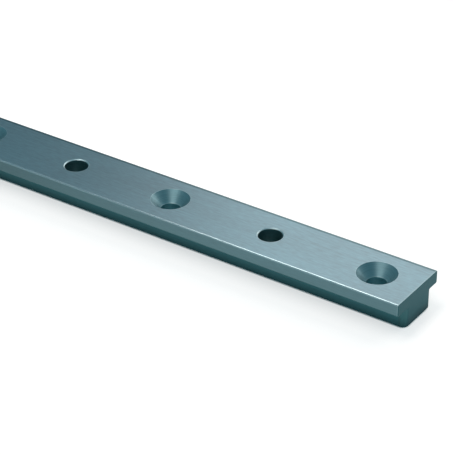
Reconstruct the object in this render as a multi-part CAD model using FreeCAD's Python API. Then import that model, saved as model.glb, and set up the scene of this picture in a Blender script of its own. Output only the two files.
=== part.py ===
import FreeCAD, Part
import math
import os

# A length of T-section sailing track: a wide flange that a car's jaws hook under, on a narrower stem that
# stands on the deck. Countersunk fixing holes and plain stop holes take turns along the centre line.
#
# Frame, in millimetres: X along the track, Y across it, Z up from the deck. The origin is in the middle of
# the underside. Holes are counted from the end at +X.

# Section
FLANGE_WIDTH = 30.0
FLANGE_THICKNESS = 5.6
STEM_WIDTH = 18.3
STEM_HEIGHT = 8.6
TOP_EDGE_RADIUS = 0.5
LIP_RADIUS = 0.8
ROOT_RADIUS = 0.6
FOOT_RADIUS = 0.6

# Length
LENGTH = 1000.0
END_BREAK = 0.25

# Holes along the centre line
HOLE_PITCH = 50.0
END_DISTANCE = 18.5
SCREW_HOLE_DIAMETER = 8.5
COUNTERSINK_DIAMETER = 16.7
COUNTERSINK_ANGLE = 82.0
STOP_HOLE_DIAMETER = 10.2
STOP_HOLE_BREAK = 0.4

HEIGHT = STEM_HEIGHT + FLANGE_THICKNESS
HALF_LENGTH = LENGTH / 2
OVERCUT = FLANGE_THICKNESS / 4


def rounded_outline(corners):
    """Closed wire in the YZ plane through (y, z, radius) corners, each rounded with a tangent arc."""
    points = [FreeCAD.Vector(0, y, z) for y, z, radius in corners]
    starts, arcs, ends = [], [], []
    for i, (y, z, radius) in enumerate(corners):
        corner = points[i]
        back = (points[i - 1] - corner).normalize()
        ahead = (points[(i + 1) % len(points)] - corner).normalize()
        half_angle = back.getAngle(ahead) / 2
        bisector = (back + ahead).normalize()
        reach = radius / math.tan(half_angle)
        middle = corner + bisector * (radius / math.sin(half_angle) - radius)
        starts.append(corner + back * reach)
        ends.append(corner + ahead * reach)
        arcs.append(Part.Arc(starts[i], middle, ends[i]).toShape())
    edges = []
    for i, arc in enumerate(arcs):
        edges.append(arc)
        edges.append(Part.LineSegment(ends[i], starts[(i + 1) % len(arcs)]).toShape())
    return Part.Wire(edges)


def section():
    """The T section, foot at z = 0."""
    half_flange = FLANGE_WIDTH / 2
    half_stem = STEM_WIDTH / 2
    right_side = [
        (half_stem, 0, FOOT_RADIUS),
        (half_stem, STEM_HEIGHT, ROOT_RADIUS),
        (half_flange, STEM_HEIGHT, LIP_RADIUS),
        (half_flange, HEIGHT, TOP_EDGE_RADIUS),
    ]
    left_side = [(-y, z, radius) for y, z, radius in reversed(right_side)]
    return rounded_outline(right_side + left_side)


def bar():
    """The extruded bar with both sawn ends and their broken edges."""
    outline = section()
    outline.translate(FreeCAD.Vector(-HALF_LENGTH, 0, 0))
    extrusion = Part.Face(outline).extrude(FreeCAD.Vector(LENGTH, 0, 0))
    end_edges = [
        edge
        for edge in extrusion.Edges
        if edge.BoundBox.XLength < END_BREAK / 2
    ]
    return extrusion.makeChamfer(END_BREAK, end_edges)


def drill(profile):
    """Cutter turned about the Z axis from a half profile of (radius, z) points."""
    wire = Part.makePolygon([FreeCAD.Vector(radius, 0, z) for radius, z in profile + profile[:1]])
    return Part.Face(wire).revolve(FreeCAD.Vector(0, 0, 0), FreeCAD.Vector(0, 0, 1), 360)


def mouthed_drill(bore_radius, mouth_radius, flare):
    """Through drill whose mouth widens at the top face, where flare is the depth per unit of radius."""
    mouth_depth = (mouth_radius - bore_radius) * flare
    over_radius = mouth_radius + OVERCUT / flare
    return drill([
        (0, -OVERCUT),
        (bore_radius, -OVERCUT),
        (bore_radius, HEIGHT - mouth_depth),
        (over_radius, HEIGHT + OVERCUT),
        (0, HEIGHT + OVERCUT),
    ])


def hole_positions():
    """X of every hole, counted from the end at +X."""
    last = LENGTH - END_DISTANCE
    count = 1 + math.floor((last - END_DISTANCE) / HOLE_PITCH)
    return [HALF_LENGTH - END_DISTANCE - i * HOLE_PITCH for i in range(count)]


def rail():
    screw_radius = SCREW_HOLE_DIAMETER / 2
    stop_radius = STOP_HOLE_DIAMETER / 2
    countersink_flare = 1 / math.tan(math.radians(COUNTERSINK_ANGLE / 2))
    screw_drill = mouthed_drill(screw_radius, COUNTERSINK_DIAMETER / 2, countersink_flare)
    stop_drill = mouthed_drill(stop_radius, stop_radius + STOP_HOLE_BREAK, 1)
    cutters = []
    for i, x in enumerate(hole_positions()):
        cutter = (screw_drill if i % 2 == 0 else stop_drill).copy()
        cutter.translate(FreeCAD.Vector(x, 0, 0))
        cutters.append(cutter)
    return bar().cut(cutters)


os.makedirs("parts", exist_ok=True)
rail().exportStep("parts/rail.step")
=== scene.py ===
import math

import bmesh
import bpy
from mathutils import Matrix, Vector

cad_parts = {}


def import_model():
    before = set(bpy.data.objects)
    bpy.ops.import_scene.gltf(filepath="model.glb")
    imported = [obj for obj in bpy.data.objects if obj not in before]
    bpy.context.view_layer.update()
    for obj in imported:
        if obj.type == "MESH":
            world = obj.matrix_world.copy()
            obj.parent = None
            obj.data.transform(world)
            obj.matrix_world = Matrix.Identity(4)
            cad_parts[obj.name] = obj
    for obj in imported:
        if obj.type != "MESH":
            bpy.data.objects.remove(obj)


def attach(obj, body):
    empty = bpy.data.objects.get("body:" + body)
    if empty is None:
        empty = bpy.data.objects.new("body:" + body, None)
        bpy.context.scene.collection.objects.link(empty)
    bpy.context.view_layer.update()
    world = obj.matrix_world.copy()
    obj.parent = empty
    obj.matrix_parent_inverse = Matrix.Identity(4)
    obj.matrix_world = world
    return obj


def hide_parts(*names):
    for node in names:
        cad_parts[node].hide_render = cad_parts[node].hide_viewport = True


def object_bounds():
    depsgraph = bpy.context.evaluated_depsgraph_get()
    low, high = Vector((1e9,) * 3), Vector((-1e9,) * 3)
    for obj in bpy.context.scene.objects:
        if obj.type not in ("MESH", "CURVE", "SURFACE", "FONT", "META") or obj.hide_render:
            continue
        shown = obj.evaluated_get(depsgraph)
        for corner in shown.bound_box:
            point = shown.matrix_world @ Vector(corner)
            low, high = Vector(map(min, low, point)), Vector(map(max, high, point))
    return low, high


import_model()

cad_low, cad_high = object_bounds()

# The track lies along X with its underside on the floor. Lengths are in metres, and MM turns a size in
# millimetres into metres. The overall sizes come from the frame, the others are those of the CAD solid.
MM = 0.001
HALF_LENGTH = cad_high.x
HALF_WIDTH = cad_high.y
HEIGHT = cad_high.z
FLANGE_THICKNESS = 5.6 * MM
FLANGE_UNDERSIDE = HEIGHT - FLANGE_THICKNESS
HALF_STEM = 9.15 * MM
TOP_EDGE_RADIUS = 0.5 * MM
LIP_RADIUS = 0.8 * MM
ROOT_RADIUS = 0.6 * MM
FOOT_RADIUS = 0.6 * MM
END_BREAK = 0.25 * MM

# Holes along the centre line: screw holes and stop holes in turn, counted from the end at +X
HOLE_PITCH = 50 * MM
HALF_PITCH = HOLE_PITCH / 2
END_DISTANCE = 18.5 * MM
SCREW_RADIUS = 4.25 * MM
COUNTERSINK_RADIUS = 8.35 * MM
COUNTERSINK_ANGLE = math.radians(82)
STOP_RADIUS = 5.1 * MM
STOP_BREAK = 0.4 * MM
STOP_BREAK_ANGLE = math.radians(90)
STOP_MOUTH_RADIUS = STOP_RADIUS + STOP_BREAK
HOLE_COUNT = 1 + int((2 * HALF_LENGTH - 2 * END_DISTANCE) / HOLE_PITCH)
FIRST_HOLE_X = HALF_LENGTH - END_DISTANCE

# Small forms that only the visible mesh has, and how finely it is divided
RIM_BREAK = 0.04 * MM
RIM_SPREAD = 0.6 * RIM_BREAK
EASE_RADIUS = 3 * MM
EASE_CLEARANCE = 0.02 * MM
OVERCUT = 1 * MM
ARC_STEPS = 8
BREAK_STEPS = 3
ROUND_PROFILE = 0.5
EASE_STEPS = 12
TURN_STEPS = 96
SHARP_ANGLE = math.radians(25)

# Material slots of the rail, in the order of the list that it is made with
TOP, HOLE, END, STEM, SIDE, CORNER, PAINTED_SHADE_EDGE = range(7)

# Where the drawn finish of the stem ends on the lip, its darker material making painted shade on the lip's
# lower part, and how wide the far top edge's strip of painted shade is
STEM_FINISH_AND_LIP_SHADE_TOP = FLANGE_UNDERSIDE + 0.8 * LIP_RADIUS
PAINTED_SHADE_EDGE_WIDTH = 1.5 * MM

# The camera that the photograph's long edges, end face and holes give
CAMERA_AZIMUTH = math.radians(35.045)
CAMERA_ELEVATION = math.radians(31.53)
CAMERA_ROLL = math.radians(-0.314)
CAMERA_AIM = Vector((414.04, -5.18, 14.2)) * MM
CAMERA_DISTANCE = 764.93 * MM
CAMERA_LENS = 149.32
SENSOR_WIDTH = 36

# Lamps and the fill light of the world
LAMP_AIM = Vector((0.43, 0, 0))
LAMP_COLOUR = (1.15, 0.985, 0.905)
FILL_COLOUR = (0.5, 1.12, 1.34)
FILL_STRENGTH = 0.23

# The floor as light falls on it, and as the camera and reflections see it. Its glow, by distance from the
# rail's foot, is weak beside the rail and plain white far off.
FLOOR_SIZE = 40
FLOOR_COLOUR = 0.8
FLOOR_SEEN_COLOUR = 1.4
GLOW_NEAR = 0.6
GLOW_FOOT = 0.6 * MM
GLOW_REFLECTED = 9 * MM
GLOW_START = 50 * MM
GLOW_END = 260 * MM

# A painted light falloff along the floor, which only reflections see.
# Reflections see the lighter floor past FADE_START along the rail, and not before FADE_END. Up to
# FADE_CLEAR from the foot they see it all along, and from FADE_FULL on the fade holds.
FADE_START = 415 * MM
FADE_END = 285 * MM
FADE_CLEAR = 10 * MM
FADE_FULL = 16 * MM

# Linear colours: the dye as (deep, thin) pairs or as one colour, and the metal where it is worn off, which
# also serves for painted highlights
TOP_DYES = ((0.031, 0.124, 0.17), (0.058, 0.191, 0.254))
# The flange sides' dyes are less blue than the top's, the thin one darker, and their coat is thinner:
# painted shade
SIDE_DYES_AND_PAINTED_SHADE = ((0.03, 0.128, 0.153), (0.04, 0.152, 0.178))
# Darker dyes and a thinner coat for the strip along the far top edge alone: painted shade
PAINTED_SHADE_EDGE_DYES = ((0.02, 0.087, 0.112), (0.028, 0.106, 0.137))
# The ends' dye is darker than the flange's: painted shade
DYE_SAWN_AND_PAINTED_SHADE = (0.01, 0.094, 0.11)
# Lighter than the end's dye: painted light on the dressed corners, which the flange above shades
DYE_EASED_AND_PAINTED_LIGHT = (0.042, 0.142, 0.152)
DYE_STEM = (0.032, 0.143, 0.16)
DYE_CONE = (0.112, 0.264, 0.308)
DYE_SCREW_BORE = (0.1, 0.32, 0.37)
DYE_STOP_BORE = (0.045, 0.16, 0.18)
BARE_METAL_AND_HIGHLIGHT = (0.51, 0.69, 0.73)
WHITE = (1, 1, 1)

# Finishes: how far the gloss is drawn out across the marks, and the clear coat's roughness and weight
METALLIC = 0.75
BODY_IOR = 1.5
COAT_IOR = 1.8
ACROSS_THE_MARKS = 0.25
BRUSHED = {"anisotropic": 0.72, "coat_roughness": 0.35}
DRAWN = {"anisotropic": 0.5, "coat_roughness": 0.42, "coat": 0.05}
TURNED = {"anisotropic": 0.4, "coat_roughness": 0.4, "coat": 0.75}
SAWN = {"anisotropic": 0.3, "coat_roughness": 0.5, "coat": 0.03}
TOP_COAT = 1
SIDE_COAT = 0.7
PAINTED_SHADE_EDGE_COAT = 0.4

# Sizes of the marks that brushing, drawing, turning and sawing leave
GRAIN_LENGTH = 14 * MM
GRAIN_WIDTH = 0.16 * MM
GRAIN_DEPTH = 0.004 * MM
STROKE_LENGTH = 4 * MM
STROKE_WIDTH = 0.8 * MM
STREAK_LENGTH = 70 * MM
STREAK_WIDTH = 0.9 * MM
CLOUD_LENGTH = 45 * MM
CLOUD_WIDTH = 15 * MM
DRAWN_WIDTH = 0.32 * MM
RING_WIDTH = 0.18 * MM
RING_LENGTH = 12 * MM
RING_DEPTH = 0.006 * MM
SAW_WIDTH = 0.25 * MM
SAW_LENGTH = 5 * MM
SAW_DEPTH = 0.01 * MM
SAW_SLANT = 0.25
DOWN_THE_SIDE = 1.37

# Sockets of the Mix node that hold its two colours and the mixed one
COLOUR_A, COLOUR_B, COLOUR_MIXED = 6, 7, 2

# The noise behind the marks. Each kind of mark has a layer of its own, so that none repeats another.
NOISE_DETAIL = 3
NOISE_ROUGHNESS = 0.55
CLOUD_DETAIL = 2
STREAK_LAYER = 7
CLOUD_LAYER = 3
STROKE_LAYER = 5
DRAWN_LAYER = 11

# What the marks do: parts that they take in the tone, the stretch of noise used, and what it turns into
STROKE_SHARE = 0.5
STREAK_SHARE = 0.25
CLOUD_SHARE = 0.25
TONE_STRETCH = (0.4, 0.6)
MARK_STRETCH = (0.3, 0.7)
RING_STRETCH = (0.35, 0.65)
ROUGH_STRETCH = (0.25, 0.75)
RAGGEDNESS = (0.4, 1)
DYE_SPREAD = (0.85, 1.15)
BRUSHED_ROUGHNESS = (0.28, 0.38)
DRAWN_ROUGHNESS = (0.36, 0.48)
TURNED_ROUGHNESS = (0.34, 0.46)
SAWN_ROUGHNESS = (0.42, 0.58)
LIP_ROUGHNESS = 0.45
EDGE_POLISH = 0.14

# Wear: how much bare metal shows, and how far from the edge. Along the near top edge it is partly painted
# highlight.
WEAR_AND_HIGHLIGHT = 0.95
NEAR_EDGE_WEAR_AND_HIGHLIGHT_WIDTH = 0.6 * MM
HOLE_WEAR = 0.35
RIM_WEAR = 0.25 * MM
RIM_WEAR_DEPTH = 2 * RIM_BREAK
# At the stop holes' mouths the bare metal is partly painted highlight
STOP_LIP_WEAR_AND_HIGHLIGHT = 0.6
BORE_LIP = 0.3 * MM
# Painted highlight: how much bare metal shows in a thin ring at the bore's lip
BORE_LIP_HIGHLIGHT = 0.3
# On the ends' upper edges the bare metal is partly painted highlight
END_WEAR_AND_HIGHLIGHT = 0.45
END_WEAR_START = 0.1 * END_BREAK
END_WEAR_FULL = 0.5 * END_BREAK
END_WEAR_DEPTH = 2 * END_BREAK
END_RUB = 0.25
END_RUB_WIDTH = 0.8 * MM
# How far from the end the dressed corners' lighter dye, which is painted light, blends into the end's
END_BLEND = 0.12 * EASE_RADIUS
# Painted shade towards the foot: how much darker, and up to what height
FOOT_PAINTED_SHADE = 0.6
FOOT_PAINTED_SHADE_HEIGHT = 4.5 * MM


def rounded_outline(corners):
    """Points of a closed outline through (y, z, radius) corners, each rounded with a tangent arc."""
    points = []
    for i, (y, z, radius) in enumerate(corners):
        corner = Vector((y, z))
        back = (Vector(corners[i - 1][:2]) - corner).normalized()
        ahead = (Vector(corners[(i + 1) % len(corners)][:2]) - corner).normalized()
        half_angle = back.angle(ahead) / 2
        bisector = (back + ahead).normalized()
        centre = corner + bisector * (radius / math.sin(half_angle))
        reach = radius / math.tan(half_angle)
        first = corner + back * reach - centre
        turn = first.angle_signed(corner + ahead * reach - centre)
        for step in range(ARC_STEPS + 1):
            spoke = first.copy()
            spoke.rotate(Matrix.Rotation(-turn * step / ARC_STEPS, 2))
            points.append(centre + spoke)
    return points


def section():
    """Outline of the T section in (y, z), from the foot at +Y over the top to the foot at -Y."""
    right_side = [
        (HALF_STEM, 0, FOOT_RADIUS),
        (HALF_STEM, FLANGE_UNDERSIDE, ROOT_RADIUS),
        (HALF_WIDTH, FLANGE_UNDERSIDE, LIP_RADIUS),
        (HALF_WIDTH, HEIGHT, TOP_EDGE_RADIUS),
    ]
    left_side = [(-y, z, radius) for y, z, radius in reversed(right_side)]
    points = rounded_outline(right_side + left_side)
    points.insert(len(right_side) * (ARC_STEPS + 1), Vector((HALF_WIDTH - PAINTED_SHADE_EDGE_WIDTH, HEIGHT)))
    return points


def new_object(name, bm, materials):
    mesh = bpy.data.meshes.new(name)
    bm.to_mesh(mesh)
    bm.free()
    for material in materials:
        mesh.materials.append(material)
    obj = bpy.data.objects.new(name, mesh)
    bpy.context.scene.collection.objects.link(obj)
    return obj


def bar(name, materials):
    """The bar before drilling, with softly broken edges round both sawn ends."""
    bm = bmesh.new()
    outline = section()
    rings = [
        [bm.verts.new((x, point.x, point.y)) for point in outline]
        for x in (-HALF_LENGTH, HALF_LENGTH)
    ]
    for i in range(len(outline)):
        j = (i + 1) % len(outline)
        bm.faces.new((rings[0][i], rings[1][i], rings[1][j], rings[0][j]))
    ends = [bm.faces.new(rings[1]), bm.faces.new(reversed(rings[0]))]
    for face in bm.faces:
        middle = face.calc_center_median()
        if face in ends:
            face.material_index = END
        # The stem's darker material reaches onto the lip's lower part: painted shade there
        elif middle.z < STEM_FINISH_AND_LIP_SHADE_TOP:
            face.material_index = STEM
        elif middle.z < HEIGHT - TOP_EDGE_RADIUS:
            face.material_index = SIDE
        # The strip along the far top edge: painted shade
        elif middle.y > HALF_WIDTH - PAINTED_SHADE_EDGE_WIDTH:
            face.material_index = PAINTED_SHADE_EDGE
        else:
            face.material_index = TOP
    bmesh.ops.recalc_face_normals(bm, faces=bm.faces)
    bmesh.ops.bevel(
        bm, geom=[edge for face in ends for edge in face.edges], affect="EDGES", offset_type="OFFSET",
        offset=END_BREAK, segments=BREAK_STEPS, profile=ROUND_PROFILE, material=END,
    )
    return new_object(name, bm, materials)


def turned(bm, profile, x, slot):
    """Adds a closed surface turned about the upright axis at x.

    The profile is a list of (radius, z) points whose first and last lie on the axis.
    """
    rings = []
    for radius, z in profile:
        if radius == 0:
            rings.append([bm.verts.new((x, 0, z))] * TURN_STEPS)
            continue
        rings.append([
            bm.verts.new((
                x + radius * math.cos(math.tau * k / TURN_STEPS),
                radius * math.sin(math.tau * k / TURN_STEPS),
                z,
            ))
            for k in range(TURN_STEPS)
        ])
    for low, high in zip(rings, rings[1:]):
        for k in range(TURN_STEPS):
            j = (k + 1) % TURN_STEPS
            corners = list(dict.fromkeys((low[k], low[j], high[j], high[k])))
            bm.faces.new(corners).material_index = slot


def mouthed_profile(bore_radius, mouth_radius, mouth_angle):
    """Half profile of a through drill whose mouth widens at the top face and has a tiny round at its rim."""
    slope = math.tan(mouth_angle / 2)
    return [
        (0, -OVERCUT),
        (bore_radius, -OVERCUT),
        (bore_radius, HEIGHT - (mouth_radius - bore_radius) / slope),
        (mouth_radius - RIM_BREAK * slope, HEIGHT - RIM_BREAK),
        (mouth_radius + RIM_SPREAD, HEIGHT),
        (mouth_radius + RIM_SPREAD, HEIGHT + OVERCUT),
        (0, HEIGHT + OVERCUT),
    ]


def eased_corner(bm, end):
    """Adds the cutter that rounds the stem's near corner, seen from above, at the end at +X or -X."""
    centre_x = HALF_LENGTH - EASE_RADIUS
    centre_y = EASE_RADIUS - HALF_STEM
    outer_x = HALF_LENGTH + OVERCUT
    outer_y = -HALF_STEM - ROOT_RADIUS - OVERCUT
    plan = []
    for step in range(EASE_STEPS + 1):
        turn = math.pi / 2 * step / EASE_STEPS
        plan.append((centre_x + EASE_RADIUS * math.sin(turn), centre_y - EASE_RADIUS * math.cos(turn)))
    plan += [(outer_x, centre_y), (outer_x, outer_y), (centre_x, outer_y)]
    heights = (-OVERCUT, FLANGE_UNDERSIDE - EASE_CLEARANCE)
    rings = [[bm.verts.new((end * x, y, z)) for x, y in plan] for z in heights]
    faces = [bm.faces.new(ring) for ring in rings]
    for i in range(len(plan)):
        j = (i + 1) % len(plan)
        faces.append(bm.faces.new((rings[0][i], rings[0][j], rings[1][j], rings[1][i])))
    for face in faces:
        face.material_index = CORNER


def cutters(name, materials):
    """One mesh that cuts screw holes and stop holes in turn from the end at +X, and both eased corners."""
    screw_profile = mouthed_profile(SCREW_RADIUS, COUNTERSINK_RADIUS, COUNTERSINK_ANGLE)
    stop_profile = mouthed_profile(STOP_RADIUS, STOP_MOUTH_RADIUS, STOP_BREAK_ANGLE)
    bm = bmesh.new()
    for i in range(HOLE_COUNT):
        turned(bm, stop_profile if i % 2 else screw_profile, FIRST_HOLE_X - i * HOLE_PITCH, HOLE)
    for end in (1, -1):
        eased_corner(bm, end)
    bmesh.ops.recalc_face_normals(bm, faces=bm.faces)
    return new_object(name, bm, materials)


def apply_modifier(obj, modifier):
    bpy.context.view_layer.objects.active = obj
    bpy.ops.object.modifier_apply(modifier=modifier.name)


def rail(materials):
    """The drilled bar, with a material for each way in which its faces were made, and more for painted shade
    on the flange sides and along the far top edge.
    """
    piece = bar("rail_finished", materials)
    cutter = cutters("cutters", materials)
    cut = piece.modifiers.new("cuts", "BOOLEAN")
    cut.operation = "DIFFERENCE"
    cut.solver = "EXACT"
    cut.object = cutter
    apply_modifier(piece, cut)
    bpy.data.objects.remove(cutter)
    for polygon in piece.data.polygons:
        polygon.use_smooth = True
    piece.data.set_sharp_from_angle(angle=SHARP_ANGLE)
    shading = piece.modifiers.new("flat faces stay flat", "WEIGHTED_NORMAL")
    shading.keep_sharp = True
    apply_modifier(piece, shading)
    return piece


def node(tree, kind, **settings):
    made = tree.nodes.new(kind)
    for name, value in settings.items():
        setattr(made, name, value)
    return made


def join(tree, given, socket):
    """Feeds a socket from another socket, or sets its plain value."""
    if isinstance(given, bpy.types.NodeSocket):
        tree.links.new(given, socket)
    else:
        socket.default_value = given


def maths(tree, operation, *inputs):
    made = node(tree, "ShaderNodeMath", operation=operation)
    for given, socket in zip(inputs, made.inputs):
        join(tree, given, socket)
    return made.outputs[0]


def vector(tree, x, y, z):
    made = node(tree, "ShaderNodeCombineXYZ")
    for given, socket in zip((x, y, z), made.inputs):
        join(tree, given, socket)
    return made.outputs[0]


def object_place(tree):
    """The x, y and z sockets of the place on the object."""
    parts = node(tree, "ShaderNodeSeparateXYZ")
    join(tree, node(tree, "ShaderNodeTexCoord").outputs["Object"], parts.inputs[0])
    return parts.outputs


def hypotenuse(tree, a, b):
    squares = [maths(tree, "MULTIPLY", side, side) for side in (a, b)]
    return maths(tree, "SQRT", maths(tree, "ADD", *squares))


def between(tree, given, low, high, to_low=0, to_high=1):
    """Maps low..high onto to_low..to_high, held at both ends."""
    made = node(tree, "ShaderNodeMapRange", clamp=True)
    for source, socket in zip((given, low, high, to_low, to_high), made.inputs):
        join(tree, source, socket)
    return made.outputs[0]


def choice(tree, switch, when_off, when_on):
    """The first number where the switch is 0, and the second where it is 1."""
    return between(tree, switch, 0, 1, when_off, when_on)


def marks(tree, *stretched, layer=0, detail=NOISE_DETAIL):
    """Noise with marks of a given size along each of two or three places, from (place, size) pairs."""
    places = [maths(tree, "DIVIDE", place, size) for place, size in stretched]
    if len(places) < 3:
        places.append(layer)
    made = node(tree, "ShaderNodeTexNoise")
    join(tree, vector(tree, *places), made.inputs["Vector"])
    made.inputs["Scale"].default_value = 1
    made.inputs["Detail"].default_value = detail
    made.inputs["Roughness"].default_value = NOISE_ROUGHNESS
    return made.outputs["Fac"]


def rgba(colour, factor=1):
    return (*[channel * factor for channel in colour], 1)


def mixed(tree, factor, a, b):
    made = node(tree, "ShaderNodeMix", data_type="RGBA")
    sockets = (made.inputs["Factor"], made.inputs[COLOUR_A], made.inputs[COLOUR_B])
    for given, socket in zip((factor, a, b), sockets):
        join(tree, given, socket)
    return made.outputs[COLOUR_MIXED]


def scaled(tree, colour, factor):
    made = node(tree, "ShaderNodeVectorMath", operation="SCALE")
    join(tree, colour, made.inputs[0])
    join(tree, factor, made.inputs["Scale"])
    return made.outputs[0]


def dyed_metal(name, dye, anisotropic, coat_roughness, coat):
    """Dyed anodised aluminium: a dark metal under a clear hard layer. Also gives the places on it."""
    material = bpy.data.materials.new(name)
    material.use_nodes = True
    tree = material.node_tree
    shader = tree.nodes["Principled BSDF"]
    shader.inputs["Base Color"].default_value = rgba(dye)
    shader.inputs["Metallic"].default_value = METALLIC
    shader.inputs["IOR"].default_value = BODY_IOR
    shader.inputs["Anisotropic"].default_value = anisotropic
    shader.inputs["Anisotropic Rotation"].default_value = ACROSS_THE_MARKS
    shader.inputs["Coat Weight"].default_value = coat
    shader.inputs["Coat IOR"].default_value = COAT_IOR
    shader.inputs["Coat Roughness"].default_value = coat_roughness
    return material, tree, shader, object_place(tree)


def bumped(tree, shader, height, depth):
    """Raises the surface by up to depth, in metres."""
    bump = node(tree, "ShaderNodeBump")
    bump.inputs["Strength"].default_value = 1
    bump.inputs["Distance"].default_value = depth
    join(tree, height, bump.inputs["Height"])
    join(tree, bump.outputs[0], shader.inputs["Normal"])


def nearest_hole(tree, x):
    """How far x lies past the nearest hole's axis, and a switch that is on where it is a stop hole."""
    from_first = maths(tree, "SUBTRACT", x, FIRST_HOLE_X)
    in_pair = maths(tree, "WRAP", from_first, HOLE_PITCH + HALF_PITCH, -HALF_PITCH)
    is_stop = maths(tree, "GREATER_THAN", in_pair, HALF_PITCH)
    along = maths(tree, "SUBTRACT", in_pair, maths(tree, "MULTIPLY", is_stop, HOLE_PITCH))
    return along, is_stop


def near_edge(tree, place, edge, width):
    """Off further from the edge than the width, and on nearer than half of it."""
    return between(tree, place, edge - width, edge - width / 2)


def brushed_face(name, dyes, coat):
    """A face of the flange: brushed lengthwise, worn round holes and at ends, and along the near top edge
    worn and given a painted highlight.
    """
    deep, thin = dyes
    material, tree, shader, (x, y, z) = dyed_metal(name, thin, coat=coat, **BRUSHED)
    join(tree, vector(tree, 1, 0, 0), shader.inputs["Tangent"])
    girth = maths(tree, "ADD", y, maths(tree, "MULTIPLY", z, DOWN_THE_SIDE))
    grain = marks(tree, (x, GRAIN_LENGTH), (girth, GRAIN_WIDTH))
    streaks = marks(tree, (x, STREAK_LENGTH), (girth, STREAK_WIDTH), layer=STREAK_LAYER)
    strokes = marks(tree, (x, STROKE_LENGTH), (girth, STROKE_WIDTH), layer=STROKE_LAYER)
    clouds = marks(
        tree, (x, CLOUD_LENGTH), (girth, CLOUD_WIDTH), layer=CLOUD_LAYER, detail=CLOUD_DETAIL,
    )
    fine = maths(tree, "MULTIPLY", strokes, STROKE_SHARE)
    long = maths(tree, "MULTIPLY", streaks, STREAK_SHARE)
    broad = maths(tree, "MULTIPLY", clouds, CLOUD_SHARE)
    tone = maths(tree, "ADD", fine, maths(tree, "ADD", long, broad))
    dye = mixed(tree, between(tree, tone, *TONE_STRETCH), rgba(deep), rgba(thin))

    # Bare metal along the near top edge alone: partly wear, partly painted highlight
    near_side = maths(tree, "MULTIPLY", y, -1)
    near_edge_wear_and_highlight = maths(
        tree, "MULTIPLY",
        near_edge(tree, near_side, HALF_WIDTH, NEAR_EDGE_WEAR_AND_HIGHLIGHT_WIDTH),
        near_edge(tree, z, HEIGHT, NEAR_EDGE_WEAR_AND_HIGHLIGHT_WIDTH),
    )
    along, is_stop = nearest_hole(tree, x)
    mouth = choice(tree, is_stop, COUNTERSINK_RADIUS, STOP_MOUTH_RADIUS)
    past_mouth = maths(tree, "SUBTRACT", hypotenuse(tree, along, y), mouth)
    rim = maths(tree, "MULTIPLY", between(tree, past_mouth, RIM_WEAR, 0), HOLE_WEAR)
    from_middle = maths(tree, "ABSOLUTE", x)
    end_edge = between(
        tree, from_middle, HALF_LENGTH - END_RUB_WIDTH, HALF_LENGTH - END_BREAK, 0, END_RUB,
    )
    rubbed_and_highlit = maths(tree, "MAXIMUM", end_edge, maths(tree, "MAXIMUM", near_edge_wear_and_highlight, rim))
    ragged = between(tree, grain, *MARK_STRETCH, *RAGGEDNESS)
    worn_and_highlit = maths(tree, "MULTIPLY", maths(tree, "MULTIPLY", rubbed_and_highlit, ragged), WEAR_AND_HIGHLIGHT)
    join(tree, mixed(tree, worn_and_highlit, dye, rgba(BARE_METAL_AND_HIGHLIGHT)), shader.inputs["Base Color"])

    rough = between(tree, grain, *ROUGH_STRETCH, *BRUSHED_ROUGHNESS)
    polish = maths(tree, "MULTIPLY", near_edge_wear_and_highlight, EDGE_POLISH)
    join(tree, maths(tree, "SUBTRACT", rough, polish), shader.inputs["Roughness"])
    bumped(tree, shader, grain, GRAIN_DEPTH)
    return material


def painted_foot_shade(tree, colour, z):
    """The same colour, darker towards the foot: painted shade near the ground."""
    return scaled(tree, colour, between(tree, z, 0, FOOT_PAINTED_SHADE_HEIGHT, FOOT_PAINTED_SHADE, 1))


def stem_face():
    """The stem, the underside of the flange and the lip's lower part, where it is painted shade: drawn, not
    brushed, and duller.
    """
    material, tree, shader, (x, y, z) = dyed_metal("stem_face", DYE_STEM, **DRAWN)
    join(tree, vector(tree, 1, 0, 0), shader.inputs["Tangent"])
    girth = maths(tree, "ADD", y, z)
    lines = marks(tree, (x, STREAK_LENGTH), (girth, DRAWN_WIDTH), layer=DRAWN_LAYER)
    deep, thin = (rgba(DYE_STEM, factor) for factor in DYE_SPREAD)
    dye = mixed(tree, between(tree, lines, *MARK_STRETCH), deep, thin)
    # Painted shade: the stem's dye gets darker towards the foot
    join(tree, painted_foot_shade(tree, dye, z), shader.inputs["Base Color"])
    join(tree, between(tree, lines, *ROUGH_STRETCH, *DRAWN_ROUGHNESS), shader.inputs["Roughness"])
    bumped(tree, shader, lines, GRAIN_DEPTH)
    return material


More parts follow.
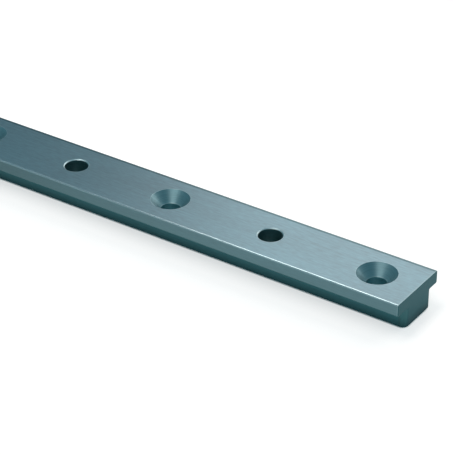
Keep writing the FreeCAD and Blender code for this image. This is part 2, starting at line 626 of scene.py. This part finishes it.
def turned_hole():
    """Cones and bores, turned in rings. The bare metal at the mouth is wear, at the stop holes' mouths
    partly painted highlight, and at the lip where a cone meets its bore painted highlight.
    """
    material, tree, shader, (x, y, z) = dyed_metal("turned_hole", DYE_CONE, **TURNED)
    along, is_stop = nearest_hole(tree, x)
    distance = hypotenuse(tree, along, y)
    join(tree, vector(tree, maths(tree, "MULTIPLY", y, -1), along, 0), shader.inputs["Tangent"])
    rings = marks(tree, (distance, RING_WIDTH), (z, RING_WIDTH), (x, RING_LENGTH))

    bore_edge = choice(tree, is_stop, SCREW_RADIUS + RIM_BREAK, STOP_RADIUS + RIM_BREAK)
    in_bore = maths(tree, "LESS_THAN", distance, bore_edge)
    bore_dye = mixed(tree, is_stop, rgba(DYE_SCREW_BORE), rgba(DYE_STOP_BORE))
    even_dye = mixed(tree, in_bore, rgba(DYE_CONE), bore_dye)
    dye = scaled(tree, even_dye, between(tree, rings, *RING_STRETCH, *DYE_SPREAD))

    below_top = maths(tree, "SUBTRACT", HEIGHT, z)
    lip = maths(tree, "LESS_THAN", below_top, choice(tree, is_stop, RIM_WEAR_DEPTH, STOP_BREAK))
    # Bare metal at the mouths: wear, at the stop holes also painted highlight
    mouth_wear_and_highlight = maths(tree, "MULTIPLY", lip, choice(tree, is_stop, HOLE_WEAR, STOP_LIP_WEAR_AND_HIGHLIGHT))
    # Painted highlight: bare metal in a thin ring where the cone meets its bore
    past_bore = maths(tree, "SUBTRACT", distance, bore_edge)
    bore_lip = maths(tree, "SUBTRACT", between(tree, past_bore, BORE_LIP, BORE_LIP / 2), in_bore)
    wear_and_highlight = maths(tree, "MAXIMUM", mouth_wear_and_highlight, maths(tree, "MULTIPLY", bore_lip, BORE_LIP_HIGHLIGHT))
    join(tree, mixed(tree, wear_and_highlight, dye, rgba(BARE_METAL_AND_HIGHLIGHT)), shader.inputs["Base Color"])

    rough = between(tree, rings, *ROUGH_STRETCH, *TURNED_ROUGHNESS)
    join(tree, choice(tree, lip, rough, LIP_ROUGHNESS), shader.inputs["Roughness"])
    bumped(tree, shader, rings, RING_DEPTH)
    return material


def sawn_end(name, side_dye):
    """The sawn ends, or the dressed corners beside them, whose side dye turns into that of the end. The
    corners' side dye is lighter than the end's: painted light where the flange above shades them.
    """
    material, tree, shader, (x, y, z) = dyed_metal(name, DYE_SAWN_AND_PAINTED_SHADE, **SAWN)
    join(tree, vector(tree, 0, SAW_SLANT, 1), shader.inputs["Tangent"])
    slant = maths(tree, "SUBTRACT", y, maths(tree, "MULTIPLY", z, SAW_SLANT))
    cuts = marks(tree, (slant, SAW_WIDTH), (z, SAW_LENGTH))

    from_middle = maths(tree, "ABSOLUTE", x)
    to_end = between(tree, from_middle, HALF_LENGTH - END_BLEND, HALF_LENGTH)
    even_dye = mixed(tree, to_end, rgba(side_dye), rgba(DYE_SAWN_AND_PAINTED_SHADE))
    marked_dye = scaled(tree, even_dye, between(tree, cuts, *MARK_STRETCH, *DYE_SPREAD))
    # Bare metal on the ends' upper edges: partly wear, partly painted highlight
    broken = between(tree, from_middle, HALF_LENGTH - END_WEAR_START, HALF_LENGTH - END_WEAR_FULL)
    upper = between(tree, z, HEIGHT - END_WEAR_DEPTH, HEIGHT - END_BREAK)
    wear_and_highlight = maths(tree, "MULTIPLY", broken, maths(tree, "MULTIPLY", upper, END_WEAR_AND_HIGHLIGHT))
    # Painted shade: the end's dye gets darker towards the foot
    colour = mixed(tree, wear_and_highlight, painted_foot_shade(tree, marked_dye, z), rgba(BARE_METAL_AND_HIGHLIGHT))
    join(tree, colour, shader.inputs["Base Color"])

    join(tree, between(tree, cuts, *ROUGH_STRETCH, *SAWN_ROUGHNESS), shader.inputs["Roughness"])
    bumped(tree, shader, cuts, SAW_DEPTH)
    return material


def beyond(tree, place, limit):
    """How far a place lies past the limit, either way from the middle."""
    past = maths(tree, "SUBTRACT", maths(tree, "ABSOLUTE", place), limit)
    return maths(tree, "MAXIMUM", past, 0)


def floor():
    """White floor that keeps the shadow. The camera and reflections see it lighter, and white far off. Away
    from the +X end, reflections see it darker: a painted light falloff.
    """
    bm = bmesh.new()
    bmesh.ops.create_grid(bm, x_segments=1, y_segments=1, size=FLOOR_SIZE / 2)
    material = bpy.data.materials.new("pale_floor")
    material.use_nodes = True
    tree = material.node_tree
    tree.nodes.remove(tree.nodes["Principled BSDF"])
    path = node(tree, "ShaderNodeLightPath").outputs
    x, y = object_place(tree)[:2]
    past_end = beyond(tree, x, HALF_LENGTH - EASE_RADIUS)
    beside = beyond(tree, y, HALF_STEM - EASE_RADIUS)
    away = maths(tree, "SUBTRACT", hypotenuse(tree, past_end, beside), EASE_RADIUS)

    glow_width = choice(tree, path["Is Camera Ray"], GLOW_REFLECTED, GLOW_FOOT)
    near_glow = between(tree, away, 0, glow_width, 0, GLOW_NEAR)
    far_glow = between(tree, away, GLOW_START, GLOW_END)
    glow = maths(tree, "MAXIMUM", near_glow, far_glow)

    along_rail = between(tree, x, FADE_END, FADE_START)
    at_foot = between(tree, away, FADE_CLEAR, FADE_FULL, 1, 0)
    lighter = maths(tree, "MAXIMUM", along_rail, at_foot)
    by_reflection = maths(tree, "MAXIMUM", path["Is Glossy Ray"], path["Is Transmission Ray"])
    reflected = maths(tree, "MULTIPLY", by_reflection, lighter)
    seen = maths(tree, "MAXIMUM", path["Is Camera Ray"], reflected)

    diffuse = node(tree, "ShaderNodeBsdfDiffuse")
    colour = mixed(tree, seen, rgba(WHITE, FLOOR_COLOUR), rgba(WHITE, FLOOR_SEEN_COLOUR))
    join(tree, colour, diffuse.inputs["Color"])
    white = node(tree, "ShaderNodeEmission")
    blend = node(tree, "ShaderNodeMixShader")
    join(tree, maths(tree, "MULTIPLY", seen, glow), blend.inputs["Fac"])
    join(tree, diffuse.outputs[0], blend.inputs[1])
    join(tree, white.outputs[0], blend.inputs[2])
    join(tree, blend.outputs[0], tree.nodes["Material Output"].inputs["Surface"])
    new_object("floor", bm, [material])


def softbox(name, azimuth, elevation, distance, width, height, radiance):
    """A rectangular soft lamp that faces the near end. Its direction is in degrees, from +Y towards +X."""
    data = bpy.data.lights.new(name, "AREA")
    data.shape = "RECTANGLE"
    data.size = width
    data.size_y = height
    data.color = LAMP_COLOUR
    data.energy = radiance * width * height * math.pi
    obj = bpy.data.objects.new(name, data)
    turn = math.radians(azimuth)
    rise = math.radians(elevation)
    direction = Vector((
        math.sin(turn) * math.cos(rise),
        math.cos(turn) * math.cos(rise),
        math.sin(rise),
    ))
    obj.location = LAMP_AIM + direction * distance
    obj.rotation_mode = "QUATERNION"
    obj.rotation_quaternion = direction.to_track_quat("Z", "Y")
    obj.visible_camera = False
    bpy.context.scene.collection.objects.link(obj)


def world():
    """White as the camera sees it, and a weak cool fill light for everything else."""
    studio = bpy.data.worlds.new("studio")
    studio.use_nodes = True
    tree = studio.node_tree
    background = tree.nodes["Background"]
    from_camera = node(tree, "ShaderNodeLightPath").outputs["Is Camera Ray"]
    join(tree, choice(tree, from_camera, FILL_STRENGTH, 1), background.inputs["Strength"])
    join(tree, mixed(tree, from_camera, rgba(FILL_COLOUR), rgba(WHITE)), background.inputs["Color"])
    bpy.context.scene.world = studio


def camera():
    data = bpy.data.cameras.new("camera")
    data.lens = CAMERA_LENS
    data.sensor_width = SENSOR_WIDTH
    obj = bpy.data.objects.new("camera", data)
    back = Vector((
        math.sin(CAMERA_AZIMUTH) * math.cos(CAMERA_ELEVATION),
        -math.cos(CAMERA_AZIMUTH) * math.cos(CAMERA_ELEVATION),
        math.sin(CAMERA_ELEVATION),
    ))
    obj.location = CAMERA_AIM + back * CAMERA_DISTANCE
    obj.rotation_mode = "QUATERNION"
    level = back.to_track_quat("Z", "Y")
    roll = Matrix.Rotation(CAMERA_ROLL, 3, "Z").to_quaternion()
    obj.rotation_quaternion = level @ roll
    bpy.context.scene.collection.objects.link(obj)
    bpy.context.scene.camera = obj


piece = rail([
    brushed_face("brushed_top", TOP_DYES, TOP_COAT),
    turned_hole(),
    # Sawn ends, whose darker dye is painted shade
    sawn_end("sawn_end", DYE_SAWN_AND_PAINTED_SHADE),
    stem_face(),
    # The flange sides: a darker copy of the top, as painted shade
    brushed_face("flange_side", SIDE_DYES_AND_PAINTED_SHADE, SIDE_COAT),
    # Dressed corners, whose lighter dye is painted light
    sawn_end("eased_corner", DYE_EASED_AND_PAINTED_LIGHT),
    # Painted shade along the far top edge
    brushed_face("far_edge_painted_shade", PAINTED_SHADE_EDGE_DYES, PAINTED_SHADE_EDGE_COAT),
])
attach(piece, "root")
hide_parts("rail")

floor()
softbox("back_softbox", azimuth=-1.8, elevation=36, distance=1.6, width=1.88, height=1.5, radiance=1.58)
softbox("top_softbox", azimuth=-90, elevation=69, distance=1.4, width=1, height=0.5, radiance=4.2)
softbox("front_softbox", azimuth=174, elevation=55, distance=1.6, width=1.1, height=0.8, radiance=1.5)
world()
camera()
bpy.context.scene.view_settings.view_transform = "Standard"
